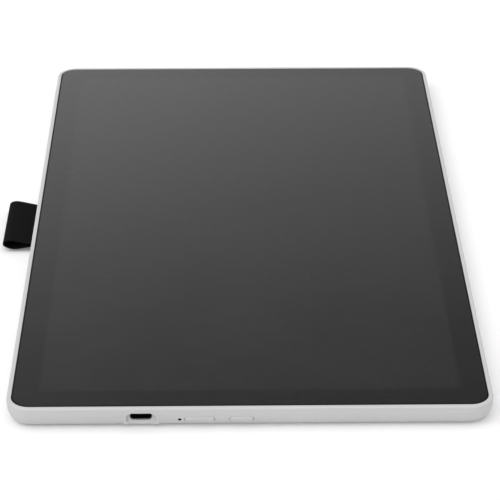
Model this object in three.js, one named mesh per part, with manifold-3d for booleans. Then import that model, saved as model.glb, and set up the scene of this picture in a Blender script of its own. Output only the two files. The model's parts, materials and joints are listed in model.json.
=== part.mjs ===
// Pen display: a flat drawing screen under glass, in a one-piece housing with a pen loop, on its rubber feet.
//
// Millimetres, +Z up. X runs across the short side and Y along the long side. The short edge at -Y holds the
// USB-C port, the status light and two keys, and the long edge at -X holds the pen loop. Every piece is placed
// about the middle of the housing. The group is then moved in X, so that the origin is under the middle of the
// whole object.

import * as THREE from "three";
import { mergeVertices } from "three/addons/utils/BufferGeometryUtils.js";
import Module from "manifold-3d";

const wasm = await Module();
wasm.setup();

// ---- Driving dimensions ----

const FOOT_PROUD = 0.5;
const BODY = { width: 200, length: 337, thickness: 9.7, corner: 9.8, topRound: 0.8 };
const UNDER = { reach: 4.8, rise: 7.2 };
const WALL = { side: 1.85, floor: 1.8, corner: 8, innerRound: 3.3 };
const GLASS = { width: 196, length: 333, thickness: 1.0, corner: 7.85, chamfer: 0.2 };
const ACTIVE = { width: 174, length: 309.4 };
const PANEL = { width: 180, length: 316, corner: 0.8 };
const GAP = 0.05;

const TOP = FOOT_PROUD + BODY.thickness;
const FLOOR = FOOT_PROUD + WALL.floor;
const EDGE_Y = -BODY.length / 2;
const EDGE_X = -BODY.width / 2;
const UNDER_Z = FOOT_PROUD + UNDER.rise;
const CAVITY = { width: BODY.width - 2 * WALL.side, length: BODY.length - 2 * WALL.side };

// Bottom and top of each layer of the screen, from the glass down.
const LAYER = {
  print: [9.11, 9.19],
  bond: [8.93, 9.08],
  cell: [7.9, 8.9],
  diffusers: [7.45, 7.85],
  guide: [6.8, 7.4],
  reflector: [6.55, 6.75],
  tray: [6.2, 7.8],
  digitizer: [5.75, 6.15],
  shield: [5.55, 5.7],
  chassis: [4.9, 5.5],
  board: [3.58, 4.38],
};
const MIDFRAME = { bottom: 5.6, top: 8.9, clearance: 0.1, corner: 7.8 };
const OPENING = { width: 182, length: 318 };

const RECESS = { outer: 12.8, inner: 10.7, depth: 2.0, top: 7.85, corner: 1.8, wall: 1.0 };
const PORT = { x: -44.7, z: 5.3, width: 8.94, height: 3.16, sheet: 0.3, depth: 7.3, clearance: 0.1 };
PORT.front = EDGE_Y + RECESS.depth + 0.4;
const LIGHT = { x: -28.85, z: 4.5, radius: 0.65, front: EDGE_Y + 0.65 };
const KEY = { height: 2.8, z: 4.55, proud: 0.35, gap: 0.15 };
const KEYS = { power: { x: -20.75, width: 12.3 }, menu: { x: -3.6, width: 9.9 } };
const FLANGE = { outer: EDGE_Y + 2.35, inner: EDGE_Y + 2.85, margin: 0.8, halfHeight: 2.1 };
const SWITCH = { z: 3.98, front: -165.0, depth: 1.6, width: 4.7, height: 1.9 };

const BOARD = { left: -58, right: 88, front: -165.1, back: -136 };
const BAY = { left: -62, right: 97.2, back: -134, railBack: -159, railBottom: 7.7 };
const BOARD_SCREWS = [[-53, -141], [83, -141], [22, -141], [60, -161]];

const FOOT = { width: 9, length: 44, x: 84, y: 128, sunk: 0.6, clearance: 0.15 };
const CORNERS = [[-1, -1], [1, -1], [1, 1], [-1, 1]];
const LABEL = { width: 70, length: 30, y: -60, thickness: 0.12, sunk: 0.2 };

// The loop's section is an oval of folded webbing, 13.9 mm out from the housing's side.
const LOOP = { reach: 13.9, width: 40, strap: 0.6, halfHeight: 2.45, tilt: -0.06, y: 0.8, z: 3.75 };
const LOOP_MOUTH = { x: -99.6, z: 3.3 };

// ---- Shapes and solids ----

function roundedRect(width, length, radius) {
  const x = width / 2 - radius;
  const y = length / 2 - radius;
  const shape = new THREE.Shape();
  shape.absarc(x, y, radius, 0, Math.PI / 2);
  shape.absarc(-x, y, radius, Math.PI / 2, Math.PI);
  shape.absarc(-x, -y, radius, Math.PI, 1.5 * Math.PI);
  shape.absarc(x, -y, radius, 1.5 * Math.PI, 2 * Math.PI);
  return shape;
}

function stadium(width, height) {
  const radius = height / 2;
  const shape = new THREE.Shape();
  shape.absarc(width / 2 - radius, 0, radius, -Math.PI / 2, Math.PI / 2);
  shape.absarc(radius - width / 2, 0, radius, Math.PI / 2, 1.5 * Math.PI);
  return shape;
}

function circle(radius) {
  return new THREE.Shape().absarc(0, 0, radius, 0, 2 * Math.PI);
}

function ring(outer, inner) {
  outer.holes.push(inner);
  return outer;
}

// A shape in X and Y, from one height to another.
function slab(shape, from, to, curveSegments = 6) {
  const geometry = new THREE.ExtrudeGeometry(shape, { depth: to - from, bevelEnabled: false, curveSegments });
  return geometry.translate(0, 0, from);
}

// A shape whose top and bottom edges are rounded or chamfered inside its outline, by `round` over `rise`.
function roundedSlab(shape, from, to, round, steps, curveSegments = 8, rise = round) {
  const geometry = new THREE.ExtrudeGeometry(shape, {
    depth: to - from - 2 * rise,
    bevelThickness: rise,
    bevelSize: round,
    bevelOffset: -round,
    bevelSegments: steps,
    curveSegments,
  });
  return geometry.translate(0, 0, from + rise);
}

// A shape in X and Z, from one Y to another.
function alongY(shape, from, to, curveSegments = 6) {
  return slab(shape, -to, -from, curveSegments).rotateX(Math.PI / 2);
}

// A shape in Y and Z, from one X to another.
function alongX(shape, from, to, curveSegments = 6) {
  return slab(shape, from, to, curveSegments).rotateX(Math.PI / 2).rotateZ(Math.PI / 2);
}

function block(x, y, z) {
  const geometry = new THREE.BoxGeometry(x[1] - x[0], y[1] - y[0], z[1] - z[0]);
  return geometry.translate((x[0] + x[1]) / 2, (y[0] + y[1]) / 2, (z[0] + z[1]) / 2);
}

function post(x, y, radius, from, to, sides = 16) {
  const geometry = new THREE.CylinderGeometry(radius, radius, to - from, sides).rotateX(Math.PI / 2);
  return geometry.translate(x, y, (from + to) / 2);
}

function solid(geometry) {
  const bare = geometry.clone();
  bare.deleteAttribute("normal");
  bare.deleteAttribute("uv");
  const merged = mergeVertices(bare, 1e-4);
  const mesh = new wasm.Mesh({
    numProp: 3,
    vertProperties: merged.attributes.position.array,
    triVerts: new Uint32Array(merged.index.array),
  });
  return new wasm.Manifold(mesh);
}

function cut(base, ...tools) {
  return tools.reduce((left, tool) => left.subtract(solid(tool)), base);
}

function join(...pieces) {
  return pieces.map(solid).reduce((whole, piece) => whole.add(piece));
}

function geometryOf(manifold) {
  const mesh = manifold.getMesh();
  const geometry = new THREE.BufferGeometry();
  geometry.setAttribute("position", new THREE.BufferAttribute(mesh.vertProperties, 3));
  geometry.setIndex(new THREE.BufferAttribute(mesh.triVerts, 1));
  geometry.computeVertexNormals();
  return geometry;
}

// ---- Materials ----

function material(color, roughness, metalness = 0) {
  return new THREE.MeshStandardMaterial({ color, roughness, metalness });
}

const MATERIAL = {
  housing: material(0xd6d6d6, 0.55),
  key: material(0xd2d2d2, 0.5),
  glass: material(0x2b2b2b, 0.25),
  print: material(0x161616, 0.6),
  film: material(0xe8e8e8, 0.4),
  acrylic: material(0xeef2f4, 0.1),
  cell: material(0x1c1c1e, 0.2),
  tape: material(0x202020, 0.9),
  aluminium: material(0xb4b6b8, 0.4, 0.9),
  steel: material(0xa8a8a8, 0.35, 1.0),
  circuit: material(0x1f5a3a, 0.5),
  flex: material(0xb0702c, 0.5),
  chip: material(0x222224, 0.6),
  insulator: material(0x18181a, 0.6),
  innerPlastic: material(0x3c3e40, 0.7),
  rubber: material(0x3a3a3a, 0.95),
  webbing: material(0x191919, 1.0),
  lens: material(0x101012, 0.2),
  label: material(0xbfc1c3, 0.6),
};

const tablet = new THREE.Group();

function add(name, finish, shape) {
  const geometry = shape instanceof THREE.BufferGeometry ? shape : geometryOf(shape);
  const mesh = new THREE.Mesh(geometry, finish);
  mesh.name = name;
  tablet.add(mesh);
}

// ---- Housing ----

// The outside of the housing: a deep rounding under the sides, and a fine one round the top edge.
function housingOutside() {
  const tall = 3 * BODY.thickness;
  const seam = TOP - 2 * BODY.topRound;
  const outline = roundedRect(BODY.width, BODY.length, BODY.corner);
  const under = roundedSlab(outline, FOOT_PROUD, FOOT_PROUD + tall, UNDER.reach, 8, 8, UNDER.rise);
  const over = solid(roundedSlab(outline, TOP - tall, TOP, BODY.topRound, 3));
  const upper = block([-BODY.width, BODY.width], [-BODY.length, BODY.length], [seam, seam + tall]);
  return cut(solid(under), upper).add(over.intersect(solid(upper)));
}

// The port's dish: its sides slope in, its top is square to the wall, and it runs out under the curved edge.
function portDish() {
  const flat = EDGE_Y + RECESS.depth;
  const outside = EDGE_Y - 1;
  const slope = (RECESS.outer - RECESS.inner) / 2 / RECESS.depth;
  const inner = RECESS.inner / 2;
  const outer = inner + slope * (flat - outside);
  const plan = new THREE.Shape();
  plan.moveTo(PORT.x - inner, flat);
  plan.lineTo(PORT.x - outer, outside);
  plan.lineTo(PORT.x + outer, outside);
  plan.lineTo(PORT.x + inner, flat);
  const height = 2 * RECESS.top;
  const front = roundedRect(RECESS.outer + 2, height, RECESS.corner);
  const window = alongY(front, outside - 1, flat + 1).translate(PORT.x, 0, RECESS.top - height / 2);
  return solid(slab(plan, -1, TOP)).intersect(solid(window));
}

// The thicker wall behind the dish.
function portBoss() {
  const half = RECESS.outer / 2 + RECESS.wall;
  const back = EDGE_Y + RECESS.depth + RECESS.wall;
  return block([PORT.x - half, PORT.x + half], [EDGE_Y + 1, back], [FLOOR - 0.3, RECESS.top + RECESS.wall]);
}

function rearCover() {
  const cavity = roundedRect(CAVITY.width, CAVITY.length, WALL.corner);
  const inside = roundedSlab(cavity, FLOOR, FLOOR + 3 * BODY.thickness, WALL.innerRound, 4);
  let cover = housingOutside().subtract(solid(inside)).add(solid(portBoss())).subtract(portDish());

  const throughEdge = [EDGE_Y - 2, EDGE_Y + 6];
  const portShape = stadium(PORT.width + 2 * PORT.clearance, PORT.height + 2 * PORT.clearance);
  const portHole = alongY(portShape, ...throughEdge).translate(PORT.x, 0, PORT.z);
  const lightHole = alongY(circle(LIGHT.radius + 0.05), ...throughEdge, 10);
  cover = cut(cover, portHole, lightHole.translate(LIGHT.x, 0, LIGHT.z));
  for (const { x, width } of Object.values(KEYS)) {
    const hole = alongY(stadium(width + 2 * KEY.gap, KEY.height + 2 * KEY.gap), ...throughEdge);
    const half = width / 2 + FLANGE.margin + 0.4;
    const room = block([x - half, x + half], [FLANGE.outer - 0.25, EDGE_Y + 5.5], [FLOOR, 7.2]);
    cover = cut(cover, hole.translate(x, 0, KEY.z), room);
  }

  const slot = [LOOP_MOUTH.z - LOOP.strap - 0.1, LOOP_MOUTH.z + LOOP.strap + 0.1];
  cover = cut(cover, block([EDGE_X - 2, EDGE_X + 5], alongLoop(0.4), slot));

  for (const piece of ribsAndBosses()) cover = cover.add(solid(piece));
  for (const [sx, sy] of CORNERS) {
    const pocket = stadium(FOOT.length + 2 * FOOT.clearance, FOOT.width + 2 * FOOT.clearance);
    const sunk = slab(pocket, -1, FOOT_PROUD + FOOT.sunk + GAP, 5).rotateZ(Math.PI / 2);
    const headRoom = post(sx * FOOT.x, sy * FOOT.y, 2.1, -1, 2.7);
    const shankRoom = post(sx * FOOT.x, sy * FOOT.y, 1.15, 0, 6);
    cover = cut(cover, sunk.translate(sx * FOOT.x, sy * FOOT.y, 0), headRoom, shankRoom);
  }
  for (const [x, y] of BOARD_SCREWS) cover = cut(cover, post(x, y, 0.85, 2.2, 6, 12));
  const labelX = [-LABEL.width / 2 - 0.3, LABEL.width / 2 + 0.3];
  const labelY = [LABEL.y - LABEL.length / 2 - 0.3, LABEL.y + LABEL.length / 2 + 0.3];
  return cut(cover, block(labelX, labelY, [-1, FOOT_PROUD + LABEL.sunk]));
}

// Ribs hold the chassis plate off the floor behind the circuit board's bay, and the bosses take the screws.
function ribsAndBosses() {
  const top = LAYER.chassis[0] - 0.1;
  const foot = FLOOR - 0.3;
  const pieces = [];
  for (const x of [-40, 0, 40]) pieces.push(block([x - 0.5, x + 0.5], [-110, 150], [foot, top]));
  for (const y of [-95, -20, 55, 130]) pieces.push(block([-78, 78], [y - 0.5, y + 0.5], [foot, top - 0.2]));
  for (const [sx, sy] of CORNERS) pieces.push(post(sx * FOOT.x, sy * FOOT.y, 3.2, foot, top));
  for (const [x, y] of BOARD_SCREWS) pieces.push(post(x, y, 2.2, foot, LAYER.board[0] - 0.08, 16));
  return pieces;
}

function addFeetAndLabel() {
  CORNERS.forEach(([sx, sy], i) => {
    const x = sx * FOOT.x;
    const y = sy * FOOT.y;
    const foot = roundedSlab(stadium(FOOT.length, FOOT.width), 0, FOOT_PROUD + FOOT.sunk, 0.25, 2, 6);
    add(`rubber_foot_${i + 1}`, MATERIAL.rubber, foot.rotateZ(Math.PI / 2).translate(x, y, 0));
    const screw = join(post(x, y, 1.85, 1.45, 2.6), post(x, y, 0.95, 2.5, 5.35, 12));
    add(`case_screw_${i + 1}`, MATERIAL.steel, cut(screw, ...crossDrive(x, y, 1.45, -1)));
  });
  const z = FOOT_PROUD + LABEL.sunk - GAP - LABEL.thickness;
  const label = slab(roundedRect(LABEL.width, LABEL.length, 1.5), z, z + LABEL.thickness, 4);
  add("rating_label", MATERIAL.label, label.translate(0, LABEL.y, 0));
}

// The crossed slots in a screw's head, cut from the face at z towards the given side.
function crossDrive(x, y, z, side) {
  const depth = [z - 0.5, z + 0.5];
  const span = 1.9 / 2;
  const slot = 0.4 / 2;
  const shift = side * 0.1;
  const reach = [depth[0] + shift, depth[1] + shift];
  return [
    block([x - span, x + span], [y - slot, y + slot], reach),
    block([x - slot, x + slot], [y - span, y + span], reach),
  ];
}

// ---- Screen ----

function addScreen() {
  const glassShape = roundedRect(GLASS.width, GLASS.length, GLASS.corner);
  add("cover_glass", MATERIAL.glass, roundedSlab(glassShape, TOP - GLASS.thickness, TOP, GLASS.chamfer, 2));

  const print = roundedRect(GLASS.width - 0.8, GLASS.length - 0.8, GLASS.corner - 0.4);
  const view = roundedRect(ACTIVE.width + 0.6, ACTIVE.length + 0.6, 0.3);
  add("border_print", MATERIAL.print, slab(ring(print, view), ...LAYER.print));

  const tapeOutside = roundedRect(GLASS.width - 1, GLASS.length - 1, GLASS.corner - 0.5);
  const tapeInside = roundedRect(OPENING.width + 5, OPENING.length + 4, 1);
  add("glass_tape", MATERIAL.tape, slab(ring(tapeOutside, tapeInside), ...LAYER.bond));
  const bond = roundedRect(PANEL.width - 1, PANEL.length - 1, 0.8);
  add("bond_layer", MATERIAL.acrylic, slab(bond, ...LAYER.bond, 3));
  const cell = roundedRect(PANEL.width, PANEL.length, PANEL.corner);
  add("lcd_cell", MATERIAL.cell, slab(cell, ...LAYER.cell, 3));
  addBacklight();

  const driver = block([91.5, 96.6], [-110, 110], [7.35, 7.95]);
  add("panel_driver_board", MATERIAL.circuit, driver);
  const film = block([90.05, 93.2], [-105, 105], [8.0, 8.15]);
  const gaps = [-78, -26, 26, 78].map((y) => block([89, 92], [y - 15, y + 15], [7, 9]));
  add("panel_flex", MATERIAL.flex, cut(solid(film), ...gaps));
}

function addBacklight() {
  const inside = { width: PANEL.width - 1.6, length: PANEL.length - 1.6 };
  const ledRoom = 2.6;
  const diffusers = slab(roundedRect(inside.width, inside.length, 0.6), ...LAYER.diffusers, 3);
  add("diffuser_sheets", MATERIAL.film, diffusers);
  const reflector = slab(roundedRect(inside.width, inside.length, 0.6), ...LAYER.reflector, 3);
  add("reflector_sheet", MATERIAL.film, reflector);
  const guide = slab(roundedRect(inside.width, inside.length - ledRoom, 0.6), ...LAYER.guide, 3);
  add("light_guide", MATERIAL.acrylic, guide.translate(0, ledRoom / 2, 0));

  const front = -inside.length / 2;
  const strip = block([-86, 86], [front + 0.1, front + 0.7], [LAYER.guide[0], LAYER.guide[1]]);
  const leds = [];
  const ledHeight = [LAYER.guide[0] + 0.08, LAYER.guide[1] - 0.08];
  const count = 18;
  for (let i = 0; i < count; i++) {
    const x = -81 + (162 * i) / (count - 1);
    leds.push(block([x - 1.9, x + 1.9], [front + 0.6, front + 2.2], ledHeight));
  }
  add("led_bar", MATERIAL.circuit, join(strip, ...leds));

  const frameOutside = roundedRect(PANEL.width + 0.6, PANEL.length + 0.6, 0.8);
  const frameInside = roundedRect(inside.width + 0.3, inside.length + 0.3, 0.6);
  const frame = slab(ring(frameOutside, frameInside), LAYER.reflector[0], LAYER.tray[1], 3);
  add("backlight_frame", MATERIAL.film, frame);

  const tray = solid(slab(roundedRect(PANEL.width + 1.4, PANEL.length + 1.4, 1.1), ...LAYER.tray, 3));
  const hollow = slab(roundedRect(PANEL.width + 0.8, PANEL.length + 0.8, 0.8), LAYER.tray[0] + 0.3, TOP, 3);
  add("panel_tray", MATERIAL.aluminium, cut(tray, hollow));
}

// ---- Frame, digitizer and chassis ----

function addStructure() {
  const outside = roundedRect(
    CAVITY.width - 2 * MIDFRAME.clearance,
    CAVITY.length - 2 * MIDFRAME.clearance,
    MIDFRAME.corner,
  );
  const opening = roundedRect(OPENING.width, OPENING.length, 1);
  const frame = solid(slab(ring(outside, opening), MIDFRAME.bottom, MIDFRAME.top));
  const bay = block([BAY.left, BAY.right], [EDGE_Y, -158], [0, BAY.railBottom]);
  const driverChannel = block([90, BAY.right], [-161.5, 112], [7.25, TOP]);
  const cableDrop = block([90, BAY.right], [-161.5, -158], [0, TOP]);
  const bossHalf = RECESS.outer / 2 + RECESS.wall + 0.3;
  const bossBack = EDGE_Y + RECESS.depth + RECESS.wall + 0.3;
  const bossTop = RECESS.top + RECESS.wall + 0.1;
  const bossRoom = block([PORT.x - bossHalf, PORT.x + bossHalf], [EDGE_Y, bossBack], [0, bossTop]);
  add("mid_frame", MATERIAL.innerPlastic, cut(frame, bay, driverChannel, cableDrop, bossRoom));

  const sensor = roundedRect(PANEL.width, PANEL.length, 1);
  add("digitizer_board", MATERIAL.circuit, slab(sensor, ...LAYER.digitizer, 3));
  add("digitizer_shield", MATERIAL.steel, slab(sensor, ...LAYER.shield, 3));

  const plate = solid(slab(roundedRect(193, 330, 6), ...LAYER.chassis));
  const notch = block([BAY.left, BAY.right + 5], [EDGE_Y, BAY.back], [0, TOP]);
  const holes = CORNERS.map(([sx, sy]) => post(sx * FOOT.x, sy * FOOT.y, 1.1, 4, 6));
  add("chassis_plate", MATERIAL.aluminium, cut(plate, notch, ...holes));
}

// ---- Electronics ----

function addMainBoard() {
  const board = solid(block([BOARD.left, BOARD.right], [BOARD.front, BOARD.back], LAYER.board));
  const holes = BOARD_SCREWS.map(([x, y]) => post(x, y, 1.0, 3, 5, 16));
  const notches = Object.values(KEYS).map(({ x }) => {
    const half = SWITCH.width / 2 + 0.15;
    return block([x - half, x + half], [BOARD.front - 1, SWITCH.front + SWITCH.depth + 0.15], [3, 5]);
  });
  const portX = [PORT.x - PORT.width / 2 - 0.3, PORT.x + PORT.width / 2 + 0.3];
  const portNotch = block(portX, [BOARD.front - 1, PORT.front + PORT.depth + 0.3], [3, 5]);
  add("main_board", MATERIAL.circuit, cut(board, ...holes, ...notches, portNotch));

  const top = LAYER.board[1] + GAP;
  add("display_chip", MATERIAL.chip, block([-26, -14], [-155, -143], [top, top + 0.75]));
  add("pen_controller_chip", MATERIAL.chip, block([36, 45], [-154, -145], [top, top + 0.8]));
  const inductor = slab(roundedRect(5, 5, 0.8), top, top + 1.0, 3);
  add("power_inductor", MATERIAL.chip, inductor.translate(-45, -150, 0));
  const can = solid(block([-29.5, -10.5], [-158.5, -139.5], [top, top + 1.05]));
  add("chip_shield", MATERIAL.steel, cut(can, block([-29.3, -10.7], [-158.3, -139.7], [0, top + 0.85])));
  add("display_connector", MATERIAL.insulator, block([78, 84], [-156.9, -151.1], [top, top + 0.9]));
  add("sensor_connector", MATERIAL.insulator, block([6, 24], [-159.8, -156.4], [top, top + 0.9]));

  BOARD_SCREWS.forEach(([x, y], i) => {
    const head = post(x, y, 1.6, top, top + 0.7, 16);
    const shank = post(x, y, 0.7, 2.4, top + 0.1, 12);
    add(`board_screw_${i + 1}`, MATERIAL.steel, cut(join(head, shank), ...crossDrive(x, y, top + 0.7, 1)));
  });
}

// Flat cables: the screen's runs down the side channel and folds on to the board, the digitizer's hooks under.
function addCables() {
  const thick = 0.15;
  const along = block([92.3, 96.3], [-160.75, -108], [8.2, 8.2 + thick]);
  const down = block([92.3, 96.3], [-160.75, -160.6], [4.75, 8.2 + thick]);
  const back = block([92.3, 96.3], [-160.75, -152], [4.75, 4.75 + thick]);
  const across = block([84.05, 96.3], [-156, -152], [4.75, 4.75 + thick]);
  add("display_cable", MATERIAL.flex, join(along, down, back, across));

  const sensor = [8, 22];
  const out = block(sensor, [-163.2, -158.05], [5.9, 5.9 + thick]);
  const fold = block(sensor, [-163.2, -163.05], [4.8, 5.9 + thick]);
  const under = block(sensor, [-163.2, -159.85], [4.8, 4.8 + thick]);
  add("sensor_flex", MATERIAL.flex, join(out, fold, under));
}

function addPort() {
  const { x, z, width, height, sheet, front, depth } = PORT;
  const outside = alongY(stadium(width, height), front, front + depth);
  const inside = alongY(stadium(width - 2 * sheet, height - 2 * sheet), front - 1, front + depth - sheet);
  add("usb_c_shell", MATERIAL.steel, cut(solid(outside), inside).translate([x, 0, z]));

  const baseShape = stadium(width - 2 * sheet - 0.2, height - 2 * sheet - 0.2);
  const base = alongY(baseShape, front + 5.4, front + depth - sheet - 0.1);
  const tongue = block([-3.35, 3.35], [front + 0.7, front + 5.5], [-0.35, 0.35]);
  add("usb_c_tongue", MATERIAL.insulator, join(base, tongue).translate([x, 0, z]));
}

function addStatusLight() {
  const { x, z, radius, front } = LIGHT;
  const pipe = alongY(circle(radius), front, -165.2, 10);
  const flange = alongY(circle(0.95), -165.9, -165.2, 10);
  add("status_light_pipe", MATERIAL.lens, join(pipe, flange).translate([x, 0, z]));
  const top = LAYER.board[1] + GAP;
  add("status_led", MATERIAL.film, block([x - 0.8, x + 0.8], [-165.0, -164.2], [top, top + 0.7]));
}

// ---- Keys ----

// The space behind the curved edge of the housing, standing proud of it by the given amount.
function behindEdge(proud, from, to) {
  const back = EDGE_Y + 10;
  const section = new THREE.Shape();
  section.moveTo(back, TOP);
  section.lineTo(EDGE_Y - proud, TOP);
  section.lineTo(EDGE_Y - proud, UNDER_Z);
  const radii = [UNDER.reach + proud, UNDER.rise + proud];
  section.absellipse(EDGE_Y + UNDER.reach, UNDER_Z, ...radii, Math.PI, 1.5 * Math.PI);
  section.lineTo(back, FOOT_PROUD - proud);
  return alongX(section, from, to, 12);
}

function addKey(name, { x, width }) {
  const stem = alongY(stadium(width, KEY.height), EDGE_Y - 2, FLANGE.outer + 0.1);
  const shaping = behindEdge(KEY.proud, x - width, x + width);
  const cap = solid(stem.translate(x, 0, KEY.z)).intersect(solid(shaping));
  const flangeX = [x - width / 2 - FLANGE.margin, x + width / 2 + FLANGE.margin];
  const flangeZ = [KEY.z - FLANGE.halfHeight, KEY.z + FLANGE.halfHeight];
  const flange = block(flangeX, [FLANGE.outer, FLANGE.inner], flangeZ);
  add(`${name}_button_cap`, MATERIAL.key, cap.add(solid(flange)));

  const box = (halfX, from, to, halfZ) =>
    block([x - halfX, x + halfX], [from, to], [SWITCH.z - halfZ, SWITCH.z + halfZ]);
  const back = SWITCH.front + SWITCH.depth;
  const body = box(SWITCH.width / 2, SWITCH.front, back, SWITCH.height / 2);
  const pocket = box(0.95, SWITCH.front - 1, SWITCH.front + 1.05, 0.55);
  add(`${name}_switch_body`, MATERIAL.insulator, cut(solid(body), pocket));
  const plunger = box(0.8, FLANGE.inner + 0.1, SWITCH.front + 0.5, 0.4);
  add(`${name}_switch_plunger`, MATERIAL.steel, plunger);
}

// ---- Pen loop ----

// The loop's stretch in Y, and as much again at each end as is asked for.
function alongLoop(extra) {
  return [LOOP.y - LOOP.width / 2 - extra, LOOP.y + LOOP.width / 2 + extra];
}

function addPenLoop() {
  const outer = EDGE_X - LOOP.reach;
  const middle = (LOOP_MOUTH.x + outer) / 2;
  const reach = (LOOP_MOUTH.x - outer) / 2;
  const oval = new THREE.Shape();
  oval.absellipse(middle, LOOP.z, reach, LOOP.halfHeight, 0, 2 * Math.PI, false, LOOP.tilt);
  const hollow = new THREE.Path();
  const room = [reach - 1.3 * LOOP.strap, LOOP.halfHeight - LOOP.strap];
  hollow.absellipse(middle, LOOP.z, ...room, 0, 2 * Math.PI, false, LOOP.tilt);
  const loop = alongY(ring(oval, hollow), ...alongLoop(0), 14);
  const tailZ = [LOOP_MOUTH.z - LOOP.strap, LOOP_MOUTH.z + LOOP.strap];
  const tail = block([LOOP_MOUTH.x - 0.7, -93.2], alongLoop(0), tailZ);
  add("pen_loop", MATERIAL.webbing, join(loop, tail));

  const clamp = solid(block([-94.9, -90.5], alongLoop(2), [FLOOR + 0.03, LAYER.chassis[0] - GAP]));
  const mouth = block([-99, -93], alongLoop(0.3), [tailZ[0] - GAP, tailZ[1] + GAP]);
  add("pen_loop_anchor", MATERIAL.innerPlastic, cut(clamp, mouth));
}

// ---- Assembly ----

add("rear_cover", MATERIAL.housing, rearCover());
addScreen();
addStructure();
addMainBoard();
addCables();
addPort();
addStatusLight();
for (const [name, key] of Object.entries(KEYS)) addKey(name, key);
addPenLoop();
addFeetAndLabel();

tablet.position.x = LOOP.reach / 2;

export default tablet;
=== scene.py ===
import json
import math

import bmesh
import bpy
import numpy as np
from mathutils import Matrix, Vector


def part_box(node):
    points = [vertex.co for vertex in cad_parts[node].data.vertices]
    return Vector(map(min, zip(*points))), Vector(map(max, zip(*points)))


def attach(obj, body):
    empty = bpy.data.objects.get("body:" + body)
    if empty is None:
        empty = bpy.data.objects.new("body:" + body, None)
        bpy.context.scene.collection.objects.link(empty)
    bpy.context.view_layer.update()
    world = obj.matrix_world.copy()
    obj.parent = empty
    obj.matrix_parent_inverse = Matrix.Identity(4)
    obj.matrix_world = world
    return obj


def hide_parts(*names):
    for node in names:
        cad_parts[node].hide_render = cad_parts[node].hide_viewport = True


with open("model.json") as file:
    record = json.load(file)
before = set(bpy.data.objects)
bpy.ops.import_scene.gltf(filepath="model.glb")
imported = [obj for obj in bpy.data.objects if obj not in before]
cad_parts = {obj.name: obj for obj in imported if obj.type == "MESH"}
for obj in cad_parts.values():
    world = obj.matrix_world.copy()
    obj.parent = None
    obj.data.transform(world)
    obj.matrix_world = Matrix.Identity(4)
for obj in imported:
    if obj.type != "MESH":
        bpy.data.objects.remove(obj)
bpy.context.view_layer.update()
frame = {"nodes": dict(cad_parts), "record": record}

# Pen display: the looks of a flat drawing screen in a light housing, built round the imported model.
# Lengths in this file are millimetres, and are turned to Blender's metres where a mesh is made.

MM = 0.001
TABLET = "tablet"

# ---- Sizes, from the frame and the housing's own curves ----


def box_mm(node):
    low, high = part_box(node)
    return np.array(low) / MM, np.array(high) / MM


COVER_LOW, COVER_HIGH = box_mm("rear_cover")
GLASS_LOW, GLASS_HIGH = box_mm("cover_glass")
HALF_WIDTH = (COVER_HIGH[0] - COVER_LOW[0]) / 2
HALF_LENGTH = (COVER_HIGH[1] - COVER_LOW[1]) / 2
MIDDLE_X = (COVER_LOW[0] + COVER_HIGH[0]) / 2
NEAR_Y = COVER_LOW[1]
LEFT_X = COVER_LOW[0]
BOTTOM = COVER_LOW[2]
TOP = COVER_HIGH[2]

CORNER = 9.8
LEAST_CORNER = 1.5
# The housing turns under by this much over this height.
BOTTOM_ROUND = 4.8
BOTTOM_RISE = 7.2
TOP_ROUND = 0.8
WALL = 1.85
FLOOR = BOTTOM + 1.8
INNER_ROUND = 3.3
RIM_EDGE = 0.12
ACTIVE_HALF = (87.0, 154.7)
# How far a cutter stands out past the face it starts from.
CUT_PAST = 2
# An edge that turns by more than this many degrees is sharp.
CREASE = 32.0
# How wide the rounding is on the edges that are cut into the skin, and how near the walls' skin and the
# flat underside an edge lies to count as one of them.
SOFT_EDGE = 0.14
SKIN_NEAR, UNDER_NEAR = 0.03, 0.01

PORT_X, PORT_Z = MIDDLE_X - 44.7, 5.3
PORT_HALF = (4.47, 1.58)
PORT_GAP = 0.1
# The dish at each depth behind the wall's face: its half width and its top.
DISH = [(-1.0, 7.1, 8.4), (0.0, 6.4, 7.88), (0.15, 6.3, 7.86), (0.8, 6.0, 7.83), (1.4, 5.75, 7.8)]
DISH += [(1.75, 5.55, 7.75), (1.94, 5.3, 7.65), (2.0, 5.0, 7.5)]
DISH_LOW, DISH_CORNER, DISH_TILT = 1.2, 2.9, 0.16
# The block the dish is sunk into: its front behind the wall's face, its foot in the floor, its wall.
DISH_FRONT, DISH_FOOT, DISH_WALL = 1.0, 0.3, 1.0
# The socket's sheet metal, and how far its lip is rolled in.
PORT_SHEET, PORT_LIP = 0.3, 0.15
# The tongue, how deep in the socket it is rooted, and the gap round its base.
TONGUE_HALF, TONGUE_ROOT, TONGUE_GAP = (3.35, 0.35), 5.4, 0.1
CONTACTS, CONTACT_PITCH, CONTACT_HALF = 12, 0.5, (0.13, 0.03)
# How far the contacts stay from the tongue's tip and from its root.
CONTACT_ENDS = (1.0, 0.1)
LIGHT_X, LIGHT_Z, LIGHT_RADIUS = MIDDLE_X - 28.85, 4.5, 0.65
# The gap round the light pipe, the height of its domed end, and the small flat that ends the dome.
LIGHT_GAP, LIGHT_DOME, LIGHT_TIP = 0.07, 0.12, 0.01
LIGHT_FLANGE_RADIUS, LIGHT_FLANGE = 0.95, 0.7
KEYS = {"power": {"x": MIDDLE_X - 20.75, "half": 6.15}, "menu": {"x": MIDDLE_X - 3.6, "half": 4.95}}
KEY_Z, KEY_HALF_Z, KEY_PROUD = 4.55, 1.4, 0.38
KEY_GAP = (0.18, 0.04)
KEY_SHOULDER = (0.8, 0.5)
# The key's flange, and how far its stem's end lies before the flange's back.
KEY_FLANGE, KEY_STEM = 0.5, 0.4
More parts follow.
